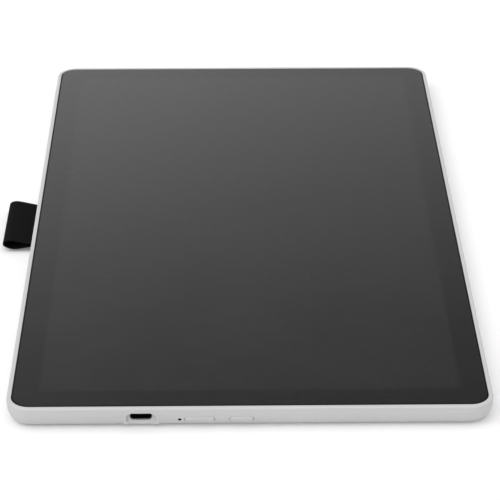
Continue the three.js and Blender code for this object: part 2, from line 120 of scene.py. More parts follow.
# The room for the flange: past each side of the key, its depths behind the wall's face, and its top.
KEY_ROOM = {"beside": 1.2, "front": 2.1, "back": 5.5, "top": 7.2}
GLASS_CORNER = 7.85
GLASS_EDGE = (0.7, 0.35)
GLASS_GROUND = 0.25

LOOP_LOW, LOOP_HIGH = box_mm("pen_loop")
LOOP_HALF = 19.9
LOOP_MIDDLE = (LOOP_LOW[1] + LOOP_HIGH[1]) / 2
LOOP_SHEET = 0.6
LOOP_FULLNESS = 0.6
LOOP_MOUTH_X = LEFT_X + 0.4
LOOP_MOUTH_Z = 3.3
# The slot for the strap: its gap at each end and over the layers, and how deep it is cut.
LOOP_SLOT_GAP, LOOP_SLOT_DEPTH = (0.4, 0.1), 5
# Half the gap between the two layers in the slot, and how far they end before the CAD loop's tail.
LOOP_LAYER_GAP, LOOP_END_GAP = 0.01, 1.2
LOOP_STEP = 0.3
LOOP_RIBS, RIB_POINTS = 48, 6
# The ribs' half height, how deep they are set in the sheet, and over what width they fade at the edges.
RIB_HALF, RIB_SUNK, RIB_FADE = 0.035, 0.09, 1.0
# The selvedges' extra thickness and width, and how full their rolled sides are.
SELVEDGE, SELVEDGE_WIDTH, EDGE_ROLL = 0.06, 0.9, 0.9
WEFT_PITCH, WARP_PITCH = 0.42, 0.4
# How many points are measured against the strap's path at a time.
WEAVE_BATCH = 4000

FEET = [f"rubber_foot_{i}" for i in (1, 2, 3, 4)]
FOOT_HALF = (4.5, 22.0)
FOOT_TOP = box_mm(FEET[0])[1][2]
# The room in a foot's pocket, beside the pad and over it.
FOOT_GAP, FOOT_ROOM = 0.15, 0.05
LABEL_SUNK, LABEL_GAP, LABEL_CORNER = 0.2, 0.3, 1.8
# How far in the label's ruled frame lies, and half the width of its line.
LABEL_FRAME_IN, LABEL_FRAME_HALF = 1.6, 0.12

SKY = 0.06
# The studio's soft lights: which way each lies, how bright it is, and the cosines from its middle at which
# it starts and is full.
GLOWS = [
    {"toward": (-0.3, -0.05, 0.95), "level": 1.5, "start": 0.6, "full": 0.9},
    {"toward": (-0.6, -1.0, 0.5), "level": 1.04, "start": 0.3, "full": 0.85},
    {"toward": (-0.05, 0.99, -0.11), "level": 1.02, "start": 0.82, "full": 0.84},
    {"toward": (-0.39, 0.91, 0.11), "level": 0.45, "start": 0.87, "full": 0.91},
    {"toward": (1.0, 0.1, 0.45), "level": 0.92, "start": 0.6, "full": 0.9},
]
FLOOR_GLOW = 0.12
FLOOR_RADIUS, FLOOR_DEPTH, FLOOR_SIDES = 3000, 20.0, 64

# The photo's camera: its place from the middle of the glass, its turn in radians, its focal length.
CAMERA = {
    "from_glass_middle": (-10.394, -875.447, 468.966),
    "turn": (1.060963, -0.001189, -0.013622),
    "lens": 149.816,
}

# ---- Shapes ----


def rounded_rect(half_x, half_y, radius, steps=20, centre=(0.0, 0.0)):
    """Points round a rounded rectangle, anticlockwise, with the same number for every size."""
    turn = np.linspace(0, math.pi / 2, steps + 1)
    points = []
    for corner, (sx, sy) in enumerate([(1, 1), (-1, 1), (-1, -1), (1, -1)]):
        angle = turn + corner * math.pi / 2
        x = sx * (half_x - radius) + radius * np.cos(angle)
        y = sy * (half_y - radius) + radius * np.sin(angle)
        points.append(np.stack([x, y], 1))
    return np.concatenate(points) + np.array(centre)


def stadium(half_x, half_y, steps=12, centre=(0.0, 0.0)):
    return rounded_rect(half_x, half_y, min(half_x, half_y) * 0.999, steps, centre)


def at_z(outline, z):
    return np.column_stack([outline, np.full(len(outline), z)])


def at_y(outline, y):
    """An outline in X and Z, set at a Y, which may differ from point to point."""
    return np.column_stack([outline[:, 0], np.broadcast_to(y, len(outline)), outline[:, 1]])


def at_x(outline, x):
    return np.column_stack([np.full(len(outline), x), outline])


def loft(rings):
    """Vertices and faces of a skin through rings of equal point count, closed by a face at each end."""
    count = len(rings[0])
    faces = []
    for k in range(len(rings) - 1):
        for i in range(count):
            j = (i + 1) % count
            faces.append((k * count + i, k * count + j, (k + 1) * count + j, (k + 1) * count + i))
    last = (len(rings) - 1) * count
    faces.append(tuple(reversed(range(count))))
    faces.append(tuple(range(last, last + count)))
    return np.concatenate(rings), faces


def arc(steps, start=0.0, end=90.0):
    """Sines and cosines of even angles from start to end, in degrees."""
    angles = np.radians(np.linspace(start, end, steps + 1))
    return list(zip(np.sin(angles), np.cos(angles)))


def block(low, high):
    """A box with the given corners, as a mesh for cutting and joining."""
    middle = (np.array(low) + np.array(high)) / 2
    half = (np.array(high) - np.array(low)) / 2
    outline = [(half[0], half[1]), (-half[0], half[1]), (-half[0], -half[1]), (half[0], -half[1])]
    outline = np.array(outline) + middle[:2]
    return loft([at_z(outline, low[2]), at_z(outline, high[2])])


# ---- Pieces ----


def new_object(name, shape):
    """A mesh object from vertices in millimetres and faces, with its faces turned outwards."""
    verts, faces = shape
    mesh = bpy.data.meshes.new(name)
    mesh.from_pydata((np.asarray(verts) * MM).tolist(), [], faces)
    made = bmesh.new()
    made.from_mesh(mesh)
    bmesh.ops.remove_doubles(made, verts=made.verts, dist=1e-7)
    bmesh.ops.recalc_face_normals(made, faces=made.faces)
    made.to_mesh(mesh)
    made.free()
    obj = bpy.data.objects.new(name, mesh)
    bpy.context.scene.collection.objects.link(obj)
    return obj


def settle(obj):
    """Takes the object's modifiers into its mesh."""
    graph = bpy.context.evaluated_depsgraph_get()
    mesh = bpy.data.meshes.new_from_object(obj.evaluated_get(graph))
    mesh.name = obj.name
    obj.modifiers.clear()
    obj.data = mesh


def combine(obj, shape, operation="DIFFERENCE"):
    """Cuts a shape from the object, or joins it on."""
    tool = new_object("tool", shape)
    change = obj.modifiers.new("change", "BOOLEAN")
    change.operation = operation
    change.solver = "EXACT"
    change.object = tool
    settle(obj)
    bpy.data.objects.remove(tool)


def soften(obj, chosen, width, steps=2):
    """Rounds the sharp edges whose middle, in millimetres, the test chooses."""
    made = bmesh.new()
    made.from_mesh(obj.data)
    weight = made.edges.layers.float.new("bevel_weight_edge")
    for edge in made.edges:
        middle = (edge.verts[0].co + edge.verts[1].co) / 2 / MM
        if edge.is_manifold and edge.calc_face_angle() > math.radians(CREASE) and chosen(middle):
            edge[weight] = 1.0
    made.to_mesh(obj.data)
    made.free()
    bevel = obj.modifiers.new("soften", "BEVEL")
    bevel.limit_method = "WEIGHT"
    bevel.width = width * MM
    bevel.segments = steps
    bevel.miter_outer = "MITER_ARC"
    settle(obj)


def smooth(obj, angle=CREASE):
    """Shades the object smoothly, with a crease wherever it turns by more than the angle."""
    made = bmesh.new()
    made.from_mesh(obj.data)
    for face in made.faces:
        face.smooth = True
    for edge in made.edges:
        edge.smooth = not edge.is_manifold or edge.calc_face_angle() < math.radians(angle)
    made.to_mesh(obj.data)
    made.free()
    weighted = obj.modifiers.new("normals", "WEIGHTED_NORMAL")
    weighted.keep_sharp = True
    weighted.weight = 100


def finish_piece(obj, look, slot, *nodes, body=TABLET):
    """Gives the piece its look and its place in the frame."""
    obj.data.materials.clear()
    obj.data.materials.append(look)
    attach(obj, body)
    if nodes:
        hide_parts(*nodes)


# ---- Materials ----


def new_node(tree, kind, inputs=None, **settings):
    made = tree.nodes.new(kind)
    for name, value in settings.items():
        setattr(made, name, value)
    for name, value in (inputs or {}).items():
        if isinstance(value, bpy.types.NodeSocket):
            tree.links.new(value, made.inputs[name])
        else:
            made.inputs[name].default_value = value
    return made


def grey(value):
    return (value, value, value, 1.0)


def new_look(name, **sockets):
    """A material and its Principled node, with plain numbers set straight on the shader's sockets."""
    look = bpy.data.materials.new(name)
    look.use_nodes = True
    shader = look.node_tree.nodes["Principled BSDF"]
    for key, value in sockets.items():
        shader.inputs[key.replace("_", " ")].default_value = value
    return look, shader


def place(tree):
    """Where a point lies on its own piece, so that a texture stays with the piece."""
    return new_node(tree, "ShaderNodeTexCoord").outputs["Object"]


def noise(tree, size, detail=2.0, roughness=0.5, at=None):
    """Noise whose grains are about the given size in millimetres."""
    inputs = {"Vector": at or place(tree), "Scale": 1 / (size * MM)}
    inputs.update({"Detail": detail, "Roughness": roughness})
    return new_node(tree, "ShaderNodeTexNoise", inputs).outputs["Fac"]


def spread(tree, value, low, high, source=(0.3, 0.7)):
    """The value, stretched from the source range to the range from low to high."""
    inputs = {"Value": value, "From Min": source[0], "From Max": source[1], "To Min": low, "To Max": high}
    return new_node(tree, "ShaderNodeMapRange", inputs).outputs["Result"]


def blend_colour(tree, factor, first, second):
    mix = new_node(tree, "ShaderNodeMix", data_type="RGBA")
    tree.links.new(factor, mix.inputs[0])
    for socket, value in ((mix.inputs[6], first), (mix.inputs[7], second)):
        if isinstance(value, bpy.types.NodeSocket):
            tree.links.new(value, socket)
        else:
            socket.default_value = value
    return mix.outputs[2]


def arithmetic(tree, operation, first, second=0.0):
    return new_node(tree, "ShaderNodeMath", {0: first, 1: second}, operation=operation).outputs[0]


def bumped(tree, shader, height, distance, strength=1.0):
    inputs = {"Height": height, "Distance": distance * MM, "Strength": strength}
    bump = new_node(tree, "ShaderNodeBump", inputs)
    tree.links.new(bump.outputs["Normal"], shader.inputs["Normal"])


def plastic_look(name, colour, roughness=0.5, grain=0.35, depth=0.02):
    """Moulded plastic with a spark-eroded skin, faint flow marks and a slight polish on standing grains."""
    look, shader = new_look(name, Specular_IOR_Level=0.45)
    tree = look.node_tree
    grains = noise(tree, grain, 3.0, 0.6)
    clouds = noise(tree, 38.0, 3.0, 0.55)
    darker = tuple(c * 0.965 for c in colour[:3]) + (1.0,)
    lighter = tuple(min(1.0, c * 1.02) for c in colour[:3]) + (1.0,)
    base = blend_colour(tree, spread(tree, clouds, 0.0, 1.0), darker, lighter)
    fleck = blend_colour(tree, spread(tree, grains, 0.0, 0.22, (0.55, 0.8)), base, lighter)
    tree.links.new(fleck, shader.inputs["Base Color"])
    polish = spread(tree, grains, 0.05, -0.05)
    rough = arithmetic(tree, "ADD", polish, spread(tree, clouds, roughness, roughness + 0.05))
    tree.links.new(rough, shader.inputs["Roughness"])
    bumped(tree, shader, grains, depth, 0.5)
    return look


def screen_look():
    """Etched anti-glare glass over a black printed border and a switched-off screen."""
    look, shader = new_look("screen_glass", Specular_IOR_Level=0.5, IOR=1.5)
    tree = look.node_tree
    across = new_node(tree, "ShaderNodeSeparateXYZ", {0: place(tree)})
    side_x = arithmetic(tree, "SUBTRACT", across.outputs["X"], MIDDLE_X * MM)
    in_x = arithmetic(tree, "LESS_THAN", arithmetic(tree, "ABSOLUTE", side_x), ACTIVE_HALF[0] * MM)
    side_y = arithmetic(tree, "ABSOLUTE", across.outputs["Y"])
    in_y = arithmetic(tree, "LESS_THAN", side_y, ACTIVE_HALF[1] * MM)
    active = arithmetic(tree, "MULTIPLY", in_x, in_y)
    sparkle = noise(tree, 0.16, 2.0, 0.7)
    handling = noise(tree, 55.0, 4.0, 0.6)
    printed = blend_colour(tree, spread(tree, sparkle, 0.0, 1.0), grey(0.0035), grey(0.006))
    screen = blend_colour(tree, spread(tree, sparkle, 0.0, 1.0), grey(0.0095), grey(0.0125))
    tree.links.new(blend_colour(tree, active, printed, screen), shader.inputs["Base Color"])
    smear = spread(tree, handling, -0.012, 0.012)
    rough = arithmetic(tree, "ADD", smear, spread(tree, sparkle, 0.25, 0.28))
    tree.links.new(rough, shader.inputs["Roughness"])
    bumped(tree, shader, sparkle, 0.004, 0.3)
    return look


def webbing_look():
    """Black woven elastic: warp ribs along the strap, crossed by fine weft, with a fuzzy sheen."""
    look, shader = new_look(
        "webbing", Roughness=0.9, Specular_IOR_Level=0.1, Sheen_Weight=0.045, Sheen_Roughness=0.45
    )
    shader.inputs["Sheen Tint"].default_value = grey(0.25)
    tree = look.node_tree
    along = new_node(tree, "ShaderNodeAttribute", attribute_name="along").outputs["Fac"]
    across = new_node(tree, "ShaderNodeAttribute", attribute_name="across").outputs["Fac"]
    fibres = noise(tree, 0.12, 3.0, 0.6)
    weft = arithmetic(tree, "SINE", arithmetic(tree, "MULTIPLY", along, 2 * math.pi / WEFT_PITCH))
    warp = arithmetic(tree, "SINE", arithmetic(tree, "MULTIPLY", across, 2 * math.pi / WARP_PITCH))
    checks = arithmetic(tree, "MULTIPLY", weft, warp)
    height = arithmetic(tree, "ADD", arithmetic(tree, "MULTIPLY", checks, 0.5), fibres)
    thread = spread(tree, height, 0.0, 1.0, (-0.1, 1.1))
    worn = spread(tree, noise(tree, 7.0, 3.0, 0.6), 0.0, 1.0)
    yarn = blend_colour(tree, worn, grey(0.0028), grey(0.0038))
    tree.links.new(blend_colour(tree, thread, grey(0.001), yarn), shader.inputs["Base Color"])
    bumped(tree, shader, height, 0.05, 0.8)
    return look


def rubber_look():
    look, shader = new_look("foot_rubber", Specular_IOR_Level=0.35)
    tree = look.node_tree
    grains = noise(tree, 0.25, 4.0, 0.7)
    dust = noise(tree, 6.0, 4.0, 0.65)
    base = blend_colour(tree, spread(tree, dust, 0.0, 1.0), grey(0.028), grey(0.045))
    tree.links.new(base, shader.inputs["Base Color"])
    tree.links.new(spread(tree, grains, 0.68, 0.85), shader.inputs["Roughness"])
    bumped(tree, shader, grains, 0.03, 0.6)
    return look


def metal_look(name, colour, roughness, grain=(0.08, 0.6), depth=0.002):
    """Rolled or plated metal: fine scratches drawn out along one way, with a slight tarnish."""
    look, shader = new_look(name, Metallic=1.0)
    tree = look.node_tree
    stretch = (1.0, grain[0] / grain[1], 1.0)
    drawn = new_node(tree, "ShaderNodeMapping", {"Vector": place(tree), "Scale": stretch})
    lines = noise(tree, grain[0], 3.0, 0.6, at=drawn.outputs["Vector"])
    tarnish = noise(tree, 9.0, 3.0, 0.6)
    darker = tuple(c * 0.86 for c in colour[:3]) + (1.0,)
    base = blend_colour(tree, spread(tree, tarnish, 0.0, 1.0), darker, colour)
    tree.links.new(base, shader.inputs["Base Color"])
    tree.links.new(spread(tree, lines, roughness - 0.05, roughness + 0.08), shader.inputs["Roughness"])
    bumped(tree, shader, lines, depth, 0.4)
    return look


def sheet_look(name, colour, roughness, grain=0.6, change=0.12, **sockets):
    """A plain inner layer or moulding: its colour and polish drift a little, over a fine surface grain."""
    look, shader = new_look(name, **sockets)
    tree = look.node_tree
    grains = noise(tree, grain, 3.0, 0.6)
    clouds = noise(tree, 14.0, 3.0, 0.6)
    darker = tuple(c * (1 - change) for c in colour[:3]) + (1.0,)
    base = blend_colour(tree, spread(tree, clouds, 0.0, 1.0), darker, colour)
    tree.links.new(base, shader.inputs["Base Color"])
    tree.links.new(spread(tree, grains, roughness - 0.05, roughness + 0.05), shader.inputs["Roughness"])
    bumped(tree, shader, grains, 0.01, 0.4)
    return look


def circuit_look():
    """Solder mask over etched copper: tracks show as slightly lighter, raised lines."""
    look, shader = new_look("circuit_board", Specular_IOR_Level=0.5, Coat_Weight=0.3, Coat_Roughness=0.25)
    tree = look.node_tree
    inputs = {"Vector": place(tree), "Scale": 1 / (2.4 * MM), "Mortar Size": 0.09}
    inputs.update({"Color1": grey(0.0), "Color2": grey(0.0), "Mortar": grey(1.0)})
    cells = new_node(tree, "ShaderNodeTexBrick", inputs)
    base = blend_colour(tree, cells.outputs["Color"], (0.006, 0.05, 0.026, 1.0), (0.02, 0.12, 0.06, 1.0))
    tree.links.new(base, shader.inputs["Base Color"])
    tree.links.new(spread(tree, noise(tree, 3.0), 0.3, 0.42), shader.inputs["Roughness"])
    bumped(tree, shader, cells.outputs["Color"], 0.03, 0.5)
    return look


def label_look():
    """A blank silver label with one ruled frame."""
    look, shader = new_look("label", Specular_IOR_Level=0.5)
    tree = look.node_tree
    low, high = box_mm("rating_label")
    middle = (low + high) / 2
    half = (high - low) / 2 - LABEL_FRAME_IN
    across = new_node(tree, "ShaderNodeSeparateXYZ", {0: place(tree)})
    edge = None
    for axis, name in ((0, "X"), (1, "Y")):
        away = arithmetic(tree, "SUBTRACT", across.outputs[name], middle[axis] * MM)
        past = arithmetic(tree, "SUBTRACT", arithmetic(tree, "ABSOLUTE", away), half[axis] * MM)
        edge = past if edge is None else arithmetic(tree, "MAXIMUM", edge, past)
    line = arithmetic(tree, "LESS_THAN", arithmetic(tree, "ABSOLUTE", edge), LABEL_FRAME_HALF * MM)
    paper = blend_colour(tree, spread(tree, noise(tree, 5.0, 4.0), 0.0, 1.0), grey(0.4), grey(0.45))
    tree.links.new(blend_colour(tree, line, paper, grey(0.16)), shader.inputs["Base Color"])
    tree.links.new(spread(tree, noise(tree, 0.3, 3.0), 0.42, 0.56), shader.inputs["Roughness"])
    bumped(tree, shader, noise(tree, 0.3, 3.0), 0.01, 0.3)
    return look


# ---- Housing ----


def housing_inset(z):
    """How far the outside of the side walls lies in from their widest, at a height."""
    below = np.clip(BOTTOM + BOTTOM_RISE - z, 0, BOTTOM_RISE)
    above = np.clip(z - (TOP - TOP_ROUND), 0, TOP_ROUND)
    under = BOTTOM_ROUND * (1 - np.sqrt(1 - (below / BOTTOM_RISE) ** 2))
    over = TOP_ROUND - np.sqrt(TOP_ROUND**2 - above**2)
    return under + over


def housing_ring(inset, z):
    radius = max(CORNER - inset, LEAST_CORNER)
    outline = rounded_rect(HALF_WIDTH - inset, HALF_LENGTH - inset, radius, 24, (MIDDLE_X, 0.0))
    return at_z(outline, z)


def housing_shell():
    """The one-piece shell: under its curved lower edge, up the walls, over the rim and down to the floor."""
    rings = []
    for sine, cosine in arc(18):
        rings.append(housing_ring(BOTTOM_ROUND * (1 - sine), BOTTOM + BOTTOM_RISE * (1 - cosine)))
    for sine, cosine in arc(8):
        rings.append(housing_ring(TOP_ROUND * (1 - cosine), TOP + TOP_ROUND * (sine - 1)))
    for sine, cosine in arc(3):
        rings.append(housing_ring(WALL + RIM_EDGE * (sine - 1), TOP + RIM_EDGE * (cosine - 1)))
    for sine, cosine in arc(10):
        rings.append(housing_ring(WALL + INNER_ROUND * (1 - cosine), FLOOR + INNER_ROUND * (1 - sine)))
    return loft(rings)


def port_dish():
    """The cutter for the port's dish: sloped sides that round into a flat face, open underneath."""
    rings = []
    for depth, half, top in DISH:
        middle = (PORT_X, (top + DISH_LOW) / 2)
        outline = rounded_rect(half, (top - DISH_LOW) / 2, DISH_CORNER, 14, middle)
        lean = 1 + DISH_TILT * (outline[:, 1] - PORT_Z) / 2 if depth > 0 else 1
        rings.append(at_y(outline, NEAR_Y + depth * lean))
    return loft(rings)


def through_wall(half_x, half_z, x, z, depth=3.0):
    """A cutter for a rounded opening through the near wall."""
    outline = stadium(half_x, half_z, 12, (x, z))
    return loft([at_y(outline, NEAR_Y - CUT_PAST), at_y(outline, NEAR_Y + depth)])


def foot_middle(name):
    low, high = box_mm(name)
    return (low + high) / 2


def on_outside(point):
    """True for a point on the outer skin of the near wall, the left wall or the underside."""
    inset = housing_inset(point.z)
    near = abs(point.y - NEAR_Y - inset) < SKIN_NEAR and abs(point.x - MIDDLE_X) < HALF_WIDTH - CORNER
    left = abs(point.x - LEFT_X - inset) < SKIN_NEAR and abs(point.y) < HALF_LENGTH - CORNER
    under = abs(point.z - BOTTOM) < UNDER_NEAR
    return near or left or under


def make_housing():
    """The shell with its port dish and the openings for the port, light, keys, pen loop, feet and label."""
    shell = new_object("housing_shell", housing_shell())
    boss_half = DISH[1][1] + DISH_WALL
    boss_low = (PORT_X - boss_half, NEAR_Y + DISH_FRONT, FLOOR - DISH_FOOT)
    boss_high = (PORT_X + boss_half, NEAR_Y + DISH[-1][0] + DISH_WALL, DISH[1][2] + DISH_WALL)
    combine(shell, block(boss_low, boss_high), "UNION")
    combine(shell, port_dish())
    combine(shell, through_wall(PORT_HALF[0] + PORT_GAP, PORT_HALF[1] + PORT_GAP, PORT_X, PORT_Z))
    combine(shell, through_wall(LIGHT_RADIUS + LIGHT_GAP, LIGHT_RADIUS + LIGHT_GAP, LIGHT_X, LIGHT_Z))
    for key in KEYS.values():
        combine(shell, through_wall(key["half"] + KEY_GAP[0], KEY_HALF_Z + KEY_GAP[1], key["x"], KEY_Z))
        room = key["half"] + KEY_ROOM["beside"]
        room_low = (key["x"] - room, NEAR_Y + KEY_ROOM["front"], FLOOR)
        room_high = (key["x"] + room, NEAR_Y + KEY_ROOM["back"], KEY_ROOM["top"])
        combine(shell, block(room_low, room_high))
    slot_half = (LOOP_HALF + LOOP_SLOT_GAP[0], LOOP_SHEET + LOOP_SLOT_GAP[1])
    slot = rounded_rect(*slot_half, 0.3, 8, (LOOP_MIDDLE, LOOP_MOUTH_Z))
    combine(shell, loft([at_x(slot, LEFT_X - CUT_PAST), at_x(slot, LEFT_X + LOOP_SLOT_DEPTH)]))
    for name in FEET:
        middle = foot_middle(name)
        pocket = stadium(FOOT_HALF[0] + FOOT_GAP, FOOT_HALF[1] + FOOT_GAP, 16, middle[:2])
        combine(shell, loft([at_z(pocket, -1), at_z(pocket, FOOT_TOP + FOOT_ROOM)]))
    low, high = box_mm("rating_label")
    half = (high - low) / 2 + LABEL_GAP
    recess = rounded_rect(half[0], half[1], LABEL_CORNER, 8, (low + high)[:2] / 2)
    combine(shell, loft([at_z(recess, -1), at_z(recess, BOTTOM + LABEL_SUNK)]))
    soften(shell, on_outside, SOFT_EDGE)
    smooth(shell)
    finish_piece(shell, plastic_look("housing", grey(0.5)), "housing", "rear_cover")


# ---- Glass ----


def make_glass():
    """The cover glass, with a ground lower edge and the rounded upper edge of a polished sheet."""
    half = (GLASS_HIGH - GLASS_LOW) / 2
    low, high = GLASS_LOW[2], GLASS_HIGH[2]
    profile = [(GLASS_GROUND, low), (0.0, low + GLASS_GROUND), (0.0, high - GLASS_EDGE[1])]
    for sine, cosine in arc(10)[1:]:
        profile.append((GLASS_EDGE[0] * (1 - cosine), high + GLASS_EDGE[1] * (sine - 1)))
    rings = []
    for inset, z in profile:
        outline = rounded_rect(half[0] - inset, half[1] - inset, GLASS_CORNER - inset, 24, (MIDDLE_X, 0.0))
        rings.append(at_z(outline, z))
    glass = new_object("screen_sheet", loft(rings))
    smooth(glass, 50)
    finish_piece(glass, screen_look(), "screen_glass", "cover_glass")
    # The glass's sides and rounded edge are near-black with weak reflection: painted shade, so the glass rim
    # shows as a dark band.
    edge = sheet_look("glass_edge_painted_shade", grey(0.0035), 0.5, 0.2, 0.3, Specular_IOR_Level=0.08)
    glass.data.materials.append(edge)
    for face in glass.data.polygons:
        face.material_index = 0 if face.normal.z > 0.999 else 1


# ---- Keys, port and light ----


def make_key(name, key, look):
    """A moulded key cap: a pill with soft shoulders that follows the wall, with a flange behind it."""
    low, high = box_mm(f"{name}_button_cap")

    def ring(inset, back):
        outline = stadium(key["half"] - inset, KEY_HALF_Z - inset, 16, (key["x"], KEY_Z))
        return at_y(outline, NEAR_Y - KEY_PROUD + housing_inset(outline[:, 1]) + back)

    rings = [at_y(stadium(key["half"], KEY_HALF_Z, 16, (key["x"], KEY_Z)), high[1] - KEY_STEM)]
    for sine, cosine in arc(8):
        rings.append(ring(KEY_SHOULDER[0] * (1 - cosine), KEY_SHOULDER[1] * (1 - sine)))
    for inset in np.linspace(KEY_SHOULDER[0] + 0.12, KEY_HALF_Z - 0.02, 6):
        rings.append(ring(inset, 0.0))
    cap = new_object(f"{name}_key", loft(rings))
    combine(cap, block((low[0], high[1] - KEY_FLANGE, low[2]), tuple(high)), "UNION")
    smooth(cap, 40)
    finish_piece(cap, look, "key", f"{name}_button_cap", body=f"{name}_button")


def make_port():
    """The socket's drawn steel shell with a rolled lip, its moulded tongue, and the tongue's contacts."""
    low, high = box_mm("usb_c_shell")
    front, back = low[1], high[1]
    rings = [at_y(stadium(*PORT_HALF, 14, (PORT_X, PORT_Z)), back)]
    for sine, cosine in arc(5):
        grow = -PORT_LIP * (1 - cosine)
        outline = stadium(PORT_HALF[0] + grow, PORT_HALF[1] + grow, 14, (PORT_X, PORT_Z))
        rings.append(at_y(outline, front + PORT_LIP * (1 - sine)))
    for sine, cosine in arc(5):
        grow = -PORT_SHEET + PORT_LIP * (1 - sine)
        outline = stadium(PORT_HALF[0] + grow, PORT_HALF[1] + grow, 14, (PORT_X, PORT_Z))
        rings.append(at_y(outline, front + PORT_LIP * (1 - cosine)))
    inside = stadium(PORT_HALF[0] - PORT_SHEET, PORT_HALF[1] - PORT_SHEET, 14, (PORT_X, PORT_Z))
    rings.append(at_y(inside, back - PORT_SHEET))
    shell = new_object("usb_shell", loft(rings))
    smooth(shell)
    # The socket's steel is far darker than the inner steel (0.42): painted shade, so the port's opening reads
    # black.
    finish_piece(shell, metal_look("socket_steel_painted_shade", grey(0.05), 0.45), "steel", "usb_c_shell")

    tongue_low, tongue_high = box_mm("usb_c_tongue")
    tip = tongue_low[1]
    root = front + TONGUE_ROOT
    rings = []
    # The tongue starts inside its base, and its tip is chamfered.
    for inset, y in [(0.0, root + 0.3), (0.0, tip + 0.25), (0.07, tip + 0.08), (0.2, tip)]:
        half = (TONGUE_HALF[0] - inset, TONGUE_HALF[1] - inset)
        rings.append(at_y(rounded_rect(*half, 0.12, 5, (PORT_X, PORT_Z)), y))
    tongue = new_object("usb_tongue", loft(rings))
    base_half = (PORT_HALF[0] - PORT_SHEET - TONGUE_GAP, PORT_HALF[1] - PORT_SHEET - TONGUE_GAP)
    base = stadium(*base_half, 12, (PORT_X, PORT_Z))
    combine(tongue, loft([at_y(base, root), at_y(base, tongue_high[1])]), "UNION")
    smooth(tongue)
    black = sheet_look("insulator", grey(0.003), 0.6, 0.2, Specular_IOR_Level=0.1)
    finish_piece(tongue, black, "insulator", "usb_c_tongue")

    verts, faces = [], []
    front, back = tip + CONTACT_ENDS[0], root - CONTACT_ENDS[1]
    half_x, half_z = CONTACT_HALF
    for i in range(CONTACTS):
        x = PORT_X + (i - (CONTACTS - 1) / 2) * CONTACT_PITCH
        for side in (-1, 1):
            z = PORT_Z + side * TONGUE_HALF[1]
            shape = block((x - half_x, front, z - half_z), (x + half_x, back, z + half_z))
            faces += [tuple(v + len(verts) for v in face) for face in shape[1]]
            verts += shape[0].tolist()
    contacts = new_object("usb_contacts", (verts, faces))
    gold = metal_look("contact_gold", (0.45, 0.3, 0.1, 1.0), 0.4)
    finish_piece(contacts, gold, "steel")


def make_light():
    """The status light, switched off: a short clear rod with a domed end, coloured near-black with weak
    reflection as painted shade for the dark pipe.
    """
    low, high = box_mm("status_light_pipe")
    rings = []
    for sine, cosine in arc(8)[:-1]:
        radius = LIGHT_RADIUS * sine + LIGHT_TIP
        outline = stadium(radius, radius, 10, (LIGHT_X, LIGHT_Z))
        rings.append(at_y(outline, low[1] + LIGHT_DOME * (1 - cosine)))
    flange = high[1] - LIGHT_FLANGE
    profile = [(LIGHT_RADIUS, low[1] + 0.2), (LIGHT_RADIUS, flange)]
    profile += [(LIGHT_FLANGE_RADIUS, flange), (LIGHT_FLANGE_RADIUS, high[1])]
    for radius, y in profile:
        rings.append(at_y(stadium(radius, radius, 10, (LIGHT_X, LIGHT_Z)), y))
    rod = new_object("status_lens", loft(rings))
    smooth(rod, 45)
    # Near-black and barely reflective: painted shade standing in for the dark inside of the unlit clear pipe.
    lens = sheet_look("light_lens", grey(0.002), 0.4, 0.15, Specular_IOR_Level=0.08)
    finish_piece(rod, lens, "light_lens", "status_light_pipe")


# ---- Pen loop ----


def hermite(knots, steps=24):
    """A smooth curve through knots, each a point and the way and speed at which the curve passes it."""
    t = np.linspace(0, 1, steps, endpoint=False)[:, None]
    parts = []
    for (p, v), (q, w) in zip(knots[:-1], knots[1:]):
        p, v, q, w = (np.array(a, float) for a in (p, v, q, w))
        rise = t * t * (3 - 2 * t)
        parts.append(p + (q - p) * rise + v * t * (1 - t) ** 2 - w * t * t * (1 - t))
    return np.concatenate(parts + [[knots[-1][0]]])


def resample(line, step):
    """The line with its kinks eased and its points a step apart, and how far along it each lies."""
    for _ in range(2):
        line[1:-1] = (line[:-2] + 2 * line[1:-1] + line[2:]) / 4
    along = np.concatenate([[0], np.cumsum(np.linalg.norm(np.diff(line, axis=0), axis=1))])
    at = np.linspace(0, along[-1], int(along[-1] / step) + 1)
    return np.column_stack([np.interp(at, along, line[:, k]) for k in range(2)]), at


def loop_path():
    """The middle of the strap, in X and Z: out of the slot along the sagging lower layer, and back on top."""
    half = LOOP_SHEET / 2
    slot_end = LOOP_HIGH[0] - LOOP_END_GAP
    lower = LOOP_MOUTH_Z - half - LOOP_LAYER_GAP
    upper = LOOP_MOUTH_Z + half + LOOP_LAYER_GAP
    outer = LOOP_LOW[0] - LOOP_FULLNESS + half
    knots = [
        ((slot_end, lower), (-6.0, 0.0)),
        ((LOOP_MOUTH_X, lower), (-6.0, -0.4)),
        ((outer + 5.4, LOOP_LOW[2] + half), (-6.5, 0.0)),
        ((outer, (LOOP_LOW[2] + LOOP_HIGH[2]) / 2 + 0.15), (0.0, 3.6)),
        ((outer + 3.4, LOOP_HIGH[2] - half), (6.0, 0.0)),
        ((LOOP_MOUTH_X, upper), (8.5, -0.9)),
        ((slot_end, upper), (6.0, 0.0)),
    ]
    return resample(hermite(knots), LOOP_STEP)


